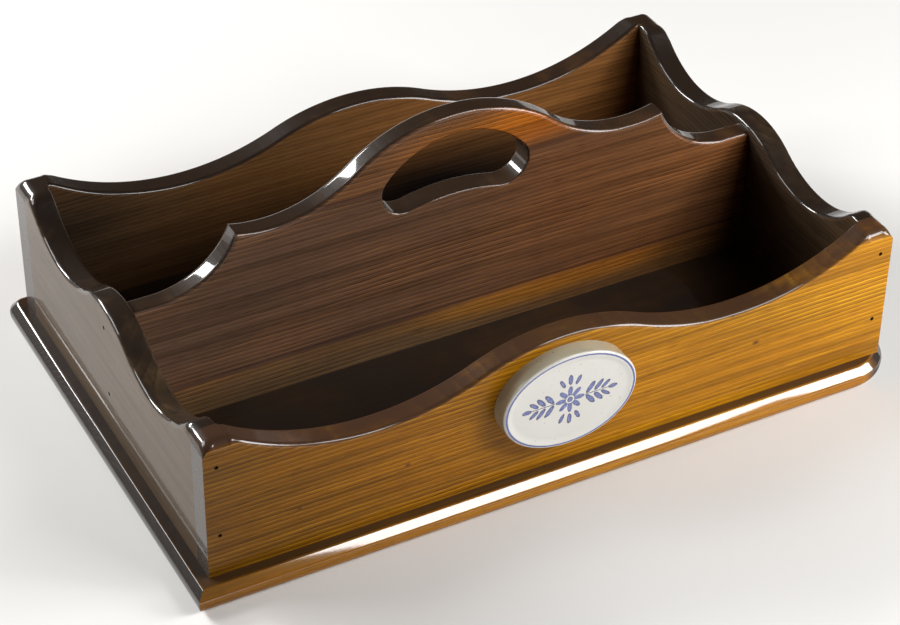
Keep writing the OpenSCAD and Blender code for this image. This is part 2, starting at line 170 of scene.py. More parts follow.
def roundBoard(bm, thickness, radiiOf, steps=6):  # thickens a flat outline, with a roundover at both faces
    spot = bm.verts.layers.int.new("spot")
    face = bm.faces[:][0]
    places = [Vector((v.co.x, v.co.z)) for v in face.verts]
    radii = [radiiOf(place.x, place.y) for place in places]
    count = len(places)
    inside = math.copysign(1, sum(places[i - 1].cross(places[i]) for i in range(count)))
    inward = []
    for i, vert in enumerate(face.verts):
        vert[spot] = i
        before = places[i - 1] if any(radii[i - 1]) else places[i]
        after = places[(i + 1) % count] if any(radii[(i + 1) % count]) else places[i]
        along = (after - before).normalized()
        inward.append(Vector((-along.y, along.x)) * inside)
    farFace = extruded(bm, [face])[0]
    for side, cap in ((-1, face), (1, farFace)):
        for k in range(steps + 1):
            if k:
                inner = cap
                cap = extruded(bm, [inner])[0]
                bmesh.ops.delete(bm, geom=[inner], context="FACES_ONLY")  # no layer stays inside
            angle = math.pi / 2 * k / steps
            for vert in cap.verts:
                i = vert[spot]
                inset, depth = radii[i][:2] if side < 0 else radii[i][2:]
                place = places[i] + inward[i] * inset * (1 - math.cos(angle))
                vert.co = (place.x, side * (thickness / 2 - depth * (1 - math.sin(angle))), place.y)
    bmesh.ops.remove_doubles(bm, verts=bm.verts[:], dist=tiny)
    bmesh.ops.recalc_face_normals(bm, faces=bm.faces[:])


def setBoard(bm, turn, centre):  # turns a finished board about the upright axis and moves it to its place
    bmesh.ops.rotate(bm, verts=bm.verts[:], cent=(0, 0, 0), matrix=Matrix.Rotation(turn, 3, "Z"))
    bmesh.ops.translate(bm, verts=bm.verts[:], vec=centre)


def roundEdges(bm, chosen, radius, segments):
    bmesh.ops.bevel(bm, geom=chosen, offset=radius, offset_type="OFFSET", segments=segments,
                    profile=0.5, affect="EDGES", material=-1, clamp_overlap=False)


# serpentine tops, with sizes in metres

def crestToDip(bm, vert, size, past=0):  # two arcs that meet smoothly, the second may go past the dip
    run, drop = size["dipAt"], size["crest"] - size["dip"]
    radii = (run ** 2 + drop ** 2) / (2 * drop)
    crestRadius = size["share"] * radii
    dipRadius = radii - crestRadius
    crestCentre = (0, size["crest"] - crestRadius)
    dipCentre = (run, size["dip"] + dipRadius)
    lean = math.atan2(run, dipCentre[1] - crestCentre[1])
    vert = arcTo(bm, vert, crestCentre, -lean)
    return arcTo(bm, vert, dipCentre, lean + math.asin(past / dipRadius))


def dipToEar(bm, vert, size, earAt):
    earRadius = size["earRadius"]
    earCentre = (earAt, size["ear"] - earRadius)
    across, up = earAt - size["dipAt"], earCentre[1] - size["dip"]
    dipRadius = (across ** 2 + up ** 2 - earRadius ** 2) / (2 * (up + earRadius))
    dipCentre = (size["dipAt"], size["dip"] + dipRadius)
    lean = math.atan2(across, dipCentre[1] - earCentre[1])
    vert = arcTo(bm, vert, dipCentre, lean)
    return arcTo(bm, vert, earCentre, -lean)


# material helpers

class Surface:  # one node material, in object coordinates
    def __init__(self, name):
        self.material = bpy.data.materials.new(name)
        self.material.use_nodes = True
        self.nodes = self.material.node_tree.nodes
        self.links = self.material.node_tree.links
        self.nodes.clear()
        self.place = self.nodes.new("ShaderNodeTexCoord").outputs["Object"]

    def feed(self, socket, value):
        if isinstance(value, bpy.types.NodeSocket):
            self.links.new(value, socket)
        elif socket.type == "RGBA":
            socket.default_value = (*value, 1)
        else:
            socket.default_value = value

    def node(self, kind, sockets):
        made = self.nodes.new(kind)
        for key, value in sockets.items():
            self.feed(made.inputs[key], value)
        return made

    def maths(self, kind, *values):
        made = self.nodes.new("ShaderNodeMath")
        made.operation = kind
        for socket, value in zip(made.inputs, values):
            self.feed(socket, value)
        return made.outputs[0]

    def vector(self, kind, *values):
        made = self.nodes.new("ShaderNodeVectorMath")
        made.operation = kind
        for socket, value in zip(made.inputs, values):
            self.feed(socket, value)
        return made.outputs["Value" if kind == "LENGTH" else "Vector"]

    def mix(self, kind, factor, first, second):
        made = self.nodes.new("ShaderNodeMix")
        made.data_type = "RGBA"
        made.blend_type = kind
        for index, value in ((0, factor), (6, first), (7, second)):  # the sockets of a colour mix
            self.feed(made.inputs[index], value)
        return made.outputs[2]

    def ramp(self, source, *stops):  # stops are (place, grey) or (place, colour), from low to high
        made = self.nodes.new("ShaderNodeValToRGB")
        elements = made.color_ramp.elements
        elements[0].position, elements[1].position = stops[0][0], stops[-1][0]
        for place, shade in stops[1:-1]:
            elements.new(place)
        for element, (place, shade) in zip(elements, stops):
            element.color = (*shade, 1) if isinstance(shade, tuple) else (shade, shade, shade, 1)
        self.feed(made.inputs["Fac"], source)
        return made.outputs["Color"]

    def mapped(self, source, scale=(1, 1, 1), move=(0, 0, 0), turn=(0, 0, 0)):
        turn = [math.radians(angle) for angle in turn]
        return self.node("ShaderNodeMapping", {"Vector": source, "Scale": scale, "Location": move,
                                               "Rotation": turn}).outputs["Vector"]

    def noise(self, source, detail=2.0, roughness=0.5, scale=1.0, output="Fac"):
        return self.node("ShaderNodeTexNoise", {"Vector": source, "Scale": scale, "Detail": detail,
                                                "Roughness": roughness}).outputs[output]

    def evenNoise(self, repeats, detail=2.0, roughness=0.5):  # alike in all directions, repeats in a metre
        return self.noise(self.mapped(self.place, (repeats, repeats, repeats)), detail, roughness)

    def parts(self, source):
        return self.node("ShaderNodeSeparateXYZ", {"Vector": source}).outputs

    def normal(self):
        return self.parts(self.nodes.new("ShaderNodeNewGeometry").outputs["Normal"])

    def span(self, source, low, high):  # 0 at low, 1 at high
        return self.node("ShaderNodeMapRange", {"Value": source, "From Min": low,
                                                "From Max": high}).outputs["Result"]

    def bump(self, height, strength, distance):
        return self.node("ShaderNodeBump", {"Height": height, "Strength": strength,
                                            "Distance": distance}).outputs["Normal"]

    def finish(self, sockets):
        shader = self.node("ShaderNodeBsdfPrincipled", sockets)
        self.node("ShaderNodeOutputMaterial", {"Surface": shader.outputs["BSDF"]})
        return self.material


# wood

grainLook = dict(  # repeats in a metre, along and across the grain
    bend=(4, 15), fibre=(34, 1100), streak=(7, 210), pore=(70, 2000), cloud=(6, 20), faint=(9, 80),
    ripple=(12, 55))
woodLook = dict(  # what the boards have in common, which each wood below adds to or changes
    grainTurn=0, ringScale=112, clouds=0.7, streaks=0.4, pores=0.6, plain=0.5,
    tones=(), toneWave=0.03, paintedShadeAndLight=(), knots=(),
    endGrain=(0.030, 0.024, 0.020), endStainAndShade=0.85, endSpan=(0.3, 0.65),
    edge=(0.020, 0.012, 0.008), edgeStainAndShade=0.96, edgeSpan=(0.3, 0.65), worn=0.8,
    poreTint=(0.42, 0.32, 0.25), rubbed=0.9, flats=0.8, peel=0.01, coatIor=1.5, gloss=0.06)


def woodMaterial(name, look):
    skin = Surface(name)
    grain = skin.mapped(skin.place, turn=(0, 0, look["grainTurn"]))  # the grain runs along x

    def drawnOut(pattern):
        along, across = grainLook[pattern]
        return skin.mapped(grain, (along, across, across))

    def fromSpot(place, size, ragged, amount):  # 0 in the middle of a spot, 1 at its ragged edge
        scale, move = [1 / (x * mm) for x in size], [-p / x for p, x in zip(place, size)]
        near = skin.vector("LENGTH", skin.mapped(skin.place, scale, move))
        return skin.maths("MULTIPLY_ADD", ragged, amount, near)

    # growth rings round an axis off the board, with slow bends along it
    bend = skin.noise(drawnOut("bend"), output="Color")
    wander = skin.vector("MULTIPLY_ADD", bend, (0, look["bend"], look["bend"]), grain)
    rings = skin.node("ShaderNodeTexWave", {"Vector": skin.mapped(wander, move=(0, *look["pith"])),
                                            "Scale": look["ringScale"], "Distortion": 0.0})
    rings.wave_type = "RINGS"
    rings.rings_direction = "X"
    rings.wave_profile = "SAW"

    # fibres, streaks and pores drawn out along the grain
    fibre = skin.noise(drawnOut("fibre"), 3.0, 0.62)
    streak = skin.noise(drawnOut("streak"), 2.0, 0.6)
    pore = skin.noise(drawnOut("pore"), 1.0)
    cloud = skin.noise(drawnOut("cloud"), 2.0, 0.55)
    faint = skin.noise(drawnOut("faint"), 2.0, 0.55)

    ring = skin.maths("ADD", rings.outputs["Fac"], skin.maths("MULTIPLY_ADD", fibre, 0.7, -0.35))
    line = skin.ramp(ring, (0.5, 0.0), (0.8, 1.0), (0.93, 0.85), (1.0, 0.0))
    wood = skin.ramp(ring, (0.0, look["early"]), (0.45, look["body"]), (0.66, look["light"]),
                     (0.84, look["late"]), (1.0, look["early"]))
    fading = skin.ramp(faint, (0.36, look["plain"]), (0.62, 0.0))
    wood = skin.mix("MIX", fading, wood, look["body"])  # lines come and go
    wood = skin.mix("MIX", skin.ramp(cloud, (0.35, 0.0), (0.68, look["clouds"])), wood, look["warm"])
    shades = skin.ramp(streak, (0.34, 0.35), (0.52, 0.9), (0.7, 1.25))
    wood = skin.mix("MULTIPLY", look["streaks"], wood, shades)
    wood = skin.mix("MULTIPLY", skin.ramp(pore, (0.30, look["pores"]), (0.40, 0.0)), wood, look["poreTint"])

    for axis, low, high, stops in look["tones"]:  # slow changes across the board: grain tone, seams, painted shade and painted light
        wavy = skin.maths("MULTIPLY_ADD", cloud, look["toneWave"], skin.parts(skin.place)[axis])
        wood = skin.mix("MULTIPLY", 1.0, wood, skin.ramp(skin.span(wavy, low * mm, high * mm), *stops))
    for place, size, tint in look["paintedShadeAndLight"]:  # soft patches of painted shade and painted light
        inside = skin.ramp(fromSpot(place, size, cloud, 0.5), (0.4, 1.0), (1.0, 0.0))
        wood = skin.mix("MULTIPLY", inside, wood, tint)
    for place, size in look["knots"]:
        inside = skin.ramp(fromSpot(place, size, fibre, 0.6), (0.45, 0.9), (1.0, 0.0))
        wood = skin.mix("MIX", inside, wood, look["knot"])

    # end grain and upward faces take darker colours, partly stain and partly painted shade; the upper edges
    # are worn lighter in places
    normal = skin.normal()
    across = skin.maths("ABSOLUTE", normal[1 if look["grainTurn"] else 0])
    clear, full = look["endSpan"]
    wood = skin.mix("MIX", skin.ramp(across, (clear, 0.0), (full, look["endStainAndShade"])), wood, look["endGrain"])
    clear, full = look["edgeSpan"]
    upward = skin.ramp(normal[2], (clear, 0.0), (full, look["edgeStainAndShade"]))
    worn = skin.ramp(skin.evenNoise(24, 3.0, 0.6), (0.5, 1.0), (0.68, look["worn"]))
    if "ledge" in look:  # the ledge outside the boards took less stain
        boards, ledge = look["ledgeSpan"]
        outside = skin.span(skin.maths("ABSOLUTE", skin.parts(skin.place)[1]), boards * mm, ledge * mm)
        worn = skin.maths("MULTIPLY", worn, skin.ramp(outside, (0.0, 1.0), (1.0, look["ledge"])))
    wood = skin.mix("MIX", skin.maths("MULTIPLY", upward, worn), wood, look["edge"])
    rubbed = skin.ramp(normal[2], (0.05, look["coat"]), (0.25, look["rubbed"]), (0.95, look["rubbed"]),
                       (0.99, look["flats"]))  # hands polish the edges
    rubbed = skin.maths("MAXIMUM", rubbed, skin.ramp(across, (0.5, 0.0), (0.85, look["rubbed"])))

    ripple = skin.maths("MULTIPLY_ADD", skin.evenNoise(500), look["peel"], skin.noise(drawnOut("ripple")))
    return skin.finish({
        "Base Color": wood, "Roughness": skin.maths("MULTIPLY_ADD", cloud, 0.2, 0.36),
        "Specular IOR Level": 0.1, "Normal": skin.bump(line, 0.15, -0.0003), "Coat Weight": rubbed,
        "Coat IOR": look["coatIor"], "Coat Roughness": look["gloss"],
        "Coat Normal": skin.bump(ripple, 0.12, 0.0006)})


# bend and pith in metres, tones as axis, from, to and stops between, paintedShadeAndLight as place, half
# size and tint
frontWood = woodMaterial("front honey pine", dict(
    woodLook, bend=0.005, pith=(0.12, 0.15), early=(0.47, 0.19, 0.002), body=(0.58, 0.25, 0.003),
    light=(0.95, 0.49, 0.012), late=(0.17, 0.05, 0.001), warm=(0.42, 0.155, 0.002),
    streaks=0.5, plain=0.3, toneWave=0.08,
    # darker toward the left end: partly darker wood, partly painted shade away from the light on the right
    tones=[(0, -200, 200, [(0.0, (0.2, 0.2, 0.55)), (0.4, (0.59, 0.53, 0.8)), (0.75, 0.95), (1.0, 1.05)])],
    # painted shade on the inner face, inside the front compartment
    paintedShadeAndLight=[((0, -110, 50), (600, 10, 200), (0.3, 0.26, 0.5))],
    knots=[((-90, -127, 45), (3.5, 9, 2.2)), ((117, -127, 50), (4, 9, 2.5)),
           ((-150, -127, 40), (3, 9, 2)), ((101, -126, 73), (2.2, 3, 1.4))],
    knot=(0.10, 0.035, 0.006), edge=(0.055, 0.027, 0.016), edgeStainAndShade=0.94, worn=0.65,
    coat=0.25, rubbed=1.0))
backWood = woodMaterial("back brown pine", dict(
    woodLook, bend=0.006, pith=(-0.12, 0.17), early=(0.24, 0.10, 0.028), body=(0.30, 0.125, 0.032),
    light=(0.38, 0.165, 0.040), late=(0.13, 0.055, 0.020), warm=(0.20, 0.09, 0.030),
    # darker toward the left end: painted shade
    tones=[(0, -200, 200, [(0.0, (0.5, 0.6, 0.9)), (0.4, (0.75, 0.85, 1.0)), (0.65, 1.0), (1.0, 1.0)])],
    # painted shade on the inner face: along its foot, in the left and right corners, and behind the hand
    # hole where the divider's shadow falls
    paintedShadeAndLight=[((10, 110, 8), (390, 16, 78), (0.05, 0.10, 0.25)),
             ((-190, 110, 60), (150, 14, 70), (0.3, 0.42, 0.7)),
             ((55, 110, 22), (150, 16, 56), (0.12, 0.2, 0.5)),
             ((205, 110, 60), (60, 16, 100), (0.2, 0.25, 0.4))],
    coat=0.4))
endWood = woodMaterial("end brown pine", dict(
    woodLook, grainTurn=90, bend=0.006, pith=(0, 0.42), early=(0.085, 0.052, 0.024),
    body=(0.110, 0.066, 0.030), light=(0.150, 0.090, 0.042), late=(0.044, 0.028, 0.016),
    # painted shade on the right end's inner face
    warm=(0.080, 0.048, 0.022), paintedShadeAndLight=[((186, 0, 50), (14, 300, 300), (0.55, 0.6, 0.8))],
    worn=0.4, coat=0.69))
dividerWood = woodMaterial("divider russet pine", dict(
    woodLook, bend=0.007, pith=(0.0, 0.16), early=(0.155, 0.074, 0.040), body=(0.195, 0.091, 0.047),
    light=(0.34, 0.150, 0.050), late=(0.040, 0.020, 0.013), warm=(0.105, 0.058, 0.036),
    clouds=0.85, streaks=0.45, plain=0.35, toneWave=0.0,
    tones=[(2, 14, 160, [(0.0, (0.9, 1.05, 0.9)), (0.06, (1.0, 1.1, 0.9)), (0.13, (1.15, 1.15, 0.9)),
                         (0.145, (0.5, 0.5, 0.7)), (0.16, 1.0), (0.735, 1.0), (0.75, (0.6, 0.6, 0.7)),
                         (0.765, (1.1, 1.0, 0.8)), (1.0, 1.0)]),  # the dark stops are seams
           # across the divider: lighter and more orange toward the right end, painted light from the right;
           # bluer at the left end
           (0, -190, 190, [(0.0, (1.1, 1.2, 1.35)), (0.5, 0.92), (0.7, (1.2, 1.0, 0.75)),
                           (1.0, (1.6, 1.3, 0.85))])],
    # painted light over the upper right and in a golden strip at the foot; painted shade left of the handle;
    # painted shadow of the right end over the lower right
    paintedShadeAndLight=[((48, 0, 143), (130, 40, 25), (2.6, 1.75, 0.3)),
             ((55, 0, 28), (130, 40, 13), (2.3, 1.9, 0.5)),
             ((-75, 0, 142), (55, 40, 26), (0.6, 0.6, 0.6)),
             ((195, -7, 20), (95, 12, 95), (0.3, 0.35, 0.5))],
    edge=(0.026, 0.015, 0.008), edgeSpan=(0.5, 0.85), coat=0.25))
baseWood = woodMaterial("base honey pine", dict(
    woodLook, bend=0.004, pith=(0.05, 0.16), early=(0.46, 0.185, 0.003), body=(0.54, 0.23, 0.004),
    light=(0.66, 0.31, 0.008), late=(0.26, 0.085, 0.002), warm=(0.38, 0.14, 0.003),
    # darker toward the left end: painted shade on the side away from the light
    tones=[(0, -210, 210, [(0.0, (0.4, 0.38, 0.6)), (0.25, (0.7, 0.65, 0.8)), (0.6, 1.0), (1.0, 1.0)])],
    # near black end grain and upward faces: partly stain, partly painted shade on the left nose and the
    # compartment floors
    endStainAndShade=0.985, endSpan=(0.12, 0.42), edge=(0.020, 0.014, 0.011), edgeStainAndShade=0.97,
    edgeSpan=(0.93, 0.985), worn=0.95, ledge=0.85, ledgeSpan=(122, 128),
    coat=0.2, rubbed=1.0, flats=0.15, peel=0.04, coatIor=1.9))
print("wood made")


# nail holes in the boards

nailLook = dict(aside=193, levels=(39.5, 83), hole=2.3, sink=2.6)


def sinkNails(piece, heads, inward):  # heads are places on the board's outer face
    cutters = bmesh.new()
    for head in heads:
        start = [at - step * proud for at, step in zip(head, inward)]
        addPlug(cutters, start, inward, nailLook["sink"] * mm + proud, nailLook["hole"] * mm)
    cutHoles(piece, cutters)


# front and back boards

sideLook = dict(crest=96, dip=74, dipAt=105, share=0.45, ear=98, earRadius=7, round=2.5, swell=6)


def sideBoard(name, material, node, turn):
    low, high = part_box(node)
    half, thickness = (high.x - low.x) / 2, high.y - low.y
    size = inMetres(sideLook)
    endLow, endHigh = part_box("right_end")
    inner = half - (endHigh.x - endLow.x)
    cornerX, cornerZ = half - size["earRadius"], size["ear"] - size["earRadius"]
    bm = bmesh.new()
    first = bm.verts.new((0, 0, size["crest"]))
    vert = crestToDip(bm, first, size)
    vert = dipToEar(bm, vert, size, inner)
    vert = lineTo(bm, vert, cornerX, size["ear"])
    vert = arcTo(bm, vert, (cornerX, cornerZ), -math.pi / 2)
    vert = lineTo(bm, vert, half, low.z)
    vert = lineTo(bm, vert, 0, low.z)
    closeLine(bm, vert, first)
    mirrorHalf(bm)

    def radiiOf(x, z):  # the outer roundover swells over the ear and runs out round its corner
        if z < size["dip"] - mm:
            return 0, 0, 0, 0
        x = abs(x)
        swell = between(x, inner - size["earRadius"], inner) * (size["swell"] - size["round"])
        outer = size["round"] + swell
        fade = 1 - math.atan2(x - cornerX, z - cornerZ) / (math.pi / 2) if x > cornerX + tiny else 1
        return outer * fade, outer, size["round"] if x < inner - tiny else 0, size["round"]

    roundBoard(bm, thickness, radiiOf)
    setBoard(bm, turn, (0, (low.y + high.y) / 2, 0))
    piece = newPiece(name, bm, material, node)
    outer, inward = (low.y, (0, 1, 0)) if turn == 0 else (high.y, (0, -1, 0))
    sinkNails(piece, [(x * mm, outer, z * mm) for x in (-nailLook["aside"], nailLook["aside"])
                      for z in nailLook["levels"]], inward)
    softNormals(piece)


sideBoard("frontBoard", frontWood, "front_board", 0)
sideBoard("backBoard", backWood, "back_board", math.pi)
print("front and back boards made")


# end boards

endLook = dict(crest=96, dip=78.5, dipAt=62, share=0.45, ear=98, earRadius=12, earLevel=3,
               round=2.5, swell=7)


def endBoard(name, node, turn):
    low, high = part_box(node)
    size = inMetres(endLook)
    earAt = high.y - size["earLevel"]
    bm = bmesh.new()
    first = bm.verts.new((0, 0, size["crest"]))
    vert = crestToDip(bm, first, size)
    vert = dipToEar(bm, vert, size, earAt)
    vert = lineTo(bm, vert, high.y, size["ear"])
    vert = lineTo(bm, vert, high.y, low.z)
    vert = lineTo(bm, vert, 0, low.z)
    closeLine(bm, vert, first)
    mirrorHalf(bm)

    def radiiOf(x, z):  # the outer roundover swells to the radius of the ears' corners
        if z < size["dip"] - mm:
            return 0, 0, 0, 0
        swell = between(abs(x), earAt - size["earRadius"], earAt) * (size["swell"] - size["round"])
        outer = size["round"] + swell
        return outer, outer, size["round"], size["round"]

    roundBoard(bm, high.x - low.x, radiiOf)
    setBoard(bm, turn, ((low.x + high.x) / 2, 0, 0))
    piece = newPiece(name, bm, endWood, node)
    outer, inward = (low.x, (1, 0, 0)) if low.x < 0 else (high.x, (-1, 0, 0))
    sinkNails(piece, [(outer, 0, z * mm) for z in nailLook["levels"]], inward)
    softNormals(piece)


endBoard("leftEnd", "left_end", -math.pi / 2)
endBoard("rightEnd", "right_end", math.pi / 2)
print("end boards made")


# divider with its handle

dividerLook = dict(crest=159, dip=120, dipAt=108, share=0.555, cuspAt=127.5, endTop=92, scoopAt=172,
                   round=2.5, backRound=4.5)
holeLook = dict(length=87, low=105.5, high=146.5, endRadius=13.5, swell=3.7, round=1.5)


def holeLine(bm, vert, hole):  # right half of the hand hole, from the swell round the end to the top
    endX, endZ = hole["length"] / 2 - hole["endRadius"], hole["low"] + hole["endRadius"]
    reach = hole["high"] - endZ
    topRadius = (endX ** 2 + reach ** 2 - hole["endRadius"] ** 2) / (2 * (reach - hole["endRadius"]))
    sink = hole["endRadius"] - hole["swell"]
    swellRadius = (endX ** 2 + sink ** 2 - hole["endRadius"] ** 2) / (2 * hole["swell"])
    topCentre = (0, hole["high"] - topRadius)
    swellCentre = (0, hole["low"] + hole["swell"] - swellRadius)
    swellLean = math.atan2(endX, endZ - swellCentre[1])
    topLean = math.atan2(endX, endZ - topCentre[1])
    vert = lineTo(bm, vert, 0, hole["low"] + hole["swell"])
    vert = arcTo(bm, vert, swellCentre, -swellLean)
    vert = arcTo(bm, vert, (endX, endZ), math.pi + swellLean - topLean)
    return arcTo(bm, vert, topCentre, topLean)


def makeDivider():
    low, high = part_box("divider")
    half, thickness = (high.x - low.x) / 2, high.y - low.y
    size, hole = inMetres(dividerLook), inMetres(holeLook)
    bm = bmesh.new()
    first = bm.verts.new((0, 0, size["crest"]))
    cusp = crestToDip(bm, first, size, size["cuspAt"] - size["dipAt"])
    across, fall = size["scoopAt"] - cusp.co.x, cusp.co.z - size["endTop"]
    scoop = (across ** 2 + fall ** 2) / (2 * fall)
    vert = arcTo(bm, cusp, (size["scoopAt"], size["endTop"] + scoop), math.asin(across / scoop))
    vert = lineTo(bm, vert, half, size["endTop"])
    vert = lineTo(bm, vert, half, low.z)
    vert = lineTo(bm, vert, 0, low.z)
    vert = holeLine(bm, vert, hole)
    closeLine(bm, vert, first)
    mirrorHalf(bm, keepSeam=True)
    thicken(bm, (0, thickness, 0))
    bmesh.ops.translate(bm, verts=bm.verts[:], vec=(0, -thickness / 2, 0))
    flat = [e for e in faceEdges(bm) if len({abs(f.normal.y) > 0.5 for f in e.link_faces}) > 1]
    inHole = [e for e in flat if abs(middle(e).x) < hole["length"] / 2 + tiny
              and hole["low"] - tiny < middle(e).z < hole["high"] + tiny]
    upper = [e for e in flat if middle(e).z > size["endTop"] - mm and e not in inHole]
    roundEdges(bm, [e for e in upper if middle(e).y < 0], size["round"], segments=5)
    roundEdges(bm, [e for e in upper if e.is_valid and middle(e).y > 0], size["backRound"], segments=6)
    roundEdges(bm, [e for e in inHole if e.is_valid], hole["round"], segments=4)
    softNormals(newPiece("divider", bm, dividerWood, "divider"))


makeDivider()
print("divider made")


# base board with a bevel over its half round edge, and screw holes

baseLook = dict(right=28, backLeft=9, nose=6.98, bevel=4.6, soft=1.1)
screwLook = dict(sides=(150, 120), ends=(193, 62), divider=90, head=7.2, shank=3.7, sink=1, cone=1.75)


def sinkScrews(piece):
    (sideX, sideY), (endX, endY) = screwLook["sides"], screwLook["ends"]
    spots = [(x, y) for x in (-sideX, 0, sideX) for y in (-sideY, sideY)]
    spots += [(x, y) for x in (-endX, endX) for y in (-endY, endY)]
    spots += [(x, 0) for x in (-screwLook["divider"], screwLook["divider"])]
    sink, cone, head, shank = (screwLook[key] * mm for key in ("sink", "cone", "head", "shank"))
    cutters = bmesh.new()
    for x, y in spots:
        addPlug(cutters, (x * mm, y * mm, -proud), (0, 0, 1), sink + proud, head)
        addPlug(cutters, (x * mm, y * mm, sink), (0, 0, 1), cone, head, shank)
    cutHoles(piece, cutters)


def makeBase():
    low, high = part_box("base_board")
    size = inMetres(baseLook)
    bm = bmesh.new()
    bmesh.ops.create_cube(bm, size=1)
    bmesh.ops.scale(bm, vec=high - low, verts=bm.verts[:])
    bmesh.ops.translate(bm, verts=bm.verts[:], vec=(low + high) / 2)
    upright = [e for e in bm.edges if rise(e) > tiny]
    rightCorners = [e for e in upright if middle(e).x > 0]
    backLeft = [e for e in upright if middle(e).x < 0 < middle(e).y]  # the front left corner stays crisp
    roundEdges(bm, rightCorners, size["right"], segments=14)
    roundEdges(bm, backLeft, size["backLeft"], segments=8)
    rim = [e for e in bm.edges if rise(e) < tiny]
    roundEdges(bm, [e for e in rim if middle(e).z > high.z - tiny], size["bevel"], segments=1)
    roundEdges(bm, [e for e in rim if e.is_valid and middle(e).z < tiny], size["nose"], segments=10)
    levels = (high.z, high.z - size["bevel"])
    arris = [e for e in bm.edges if rise(e) < tiny and any(abs(middle(e).z - z) < tiny for z in levels)]
    roundEdges(bm, arris, size["soft"], segments=3)
    piece = newPiece("baseBoard", bm, baseWood, "base_board")
    sinkScrews(piece)
    softNormals(piece)


makeBase()
print("base board made")


# plaque

plaqueLook = dict(rim=3.6, slope=2.6, dish=1.1, round=1.5)
motifLook = dict(  # in millimetres from the middle of the oval, leaves as place, half size and lean
    petals=8, petalFrom=2.4, petalReach=6.0, ringAt=2.1, ringHalf=0.45, wobble=0.9, line=1.7,
    stemFrom=8.6, stemTo=24, stemHalf=0.28,
    leaves=[((12.0, 3.8), (4.2, 1.5), 52), ((16.8, 3.6), (3.9, 1.4), 48), ((21.0, 2.9), (3.4, 1.2), 38),
            ((25.2, 0), (2.8, 1.4), 0), ((0, 12.6), (3.4, 1.4), 90), ((4.6, 11.2), (3.2, 1.2), 62)],
    dark=(0.025, 0.030, 0.13), blue=(0.070, 0.095, 0.33), pale=(0.17, 0.22, 0.48),
    white=(0.74, 0.73, 0.69), cream=(0.72, 0.70, 0.63), wall=(0.48, 0.43, 0.31), speck=(0.5, 0.45, 0.38))


def motifShape(skin, flat):  # above 0 inside the motif, in millimetres from its edge
    look = motifLook
    wobble = skin.noise(flat, scale=0.55, output="Color")
    brushed = skin.vector("MULTIPLY_ADD", wobble, (look["wobble"], 0, look["wobble"]), flat)
    brushed = skin.mapped(brushed, move=(-look["wobble"] / 2, 0, -look["wobble"] / 2))

    # daisy with a pale ring round its eye
    spread = skin.parts(brushed)
    reach = skin.vector("LENGTH", brushed)
    turn = skin.maths("MULTIPLY", skin.maths("ARCTAN2", spread["Z"], spread["X"]), look["petals"] / 2)
    wave = skin.maths("ABSOLUTE", skin.maths("COSINE", turn))
    tip = skin.maths("MULTIPLY_ADD", wave, look["petalReach"], look["petalFrom"])
    ring = skin.maths("ABSOLUTE", skin.maths("SUBTRACT", reach, look["ringAt"]))
    shape = skin.maths("MINIMUM", skin.maths("SUBTRACT", tip, reach),
                       skin.maths("SUBTRACT", ring, look["ringHalf"]))

    # leaves and stem, repeated in all four quarters
    folded = skin.vector("ABSOLUTE", brushed)
    for place, half, lean in look["leaves"]:
        leaf = skin.node("ShaderNodeMapping", {"Vector": folded, "Location": (place[0], 0, place[1]),
                                               "Rotation": (0, -math.radians(lean), 0),
                                               "Scale": (half[0], 1, half[1])})
        leaf.vector_type = "TEXTURE"
        inLeaf = skin.maths("SUBTRACT", 1.0, skin.vector("LENGTH", leaf.outputs["Vector"]))
        shape = skin.maths("MAXIMUM", shape, skin.maths("MULTIPLY", inLeaf, half[1]))
    fold = skin.parts(folded)
    stemEnds = skin.maths("MINIMUM", skin.maths("SUBTRACT", fold["X"], look["stemFrom"]),
                          skin.maths("SUBTRACT", look["stemTo"], fold["X"]))
    stem = skin.maths("MINIMUM", skin.maths("SUBTRACT", look["stemHalf"], fold["Z"]), stemEnds)
    return skin.maths("MAXIMUM", shape, stem)


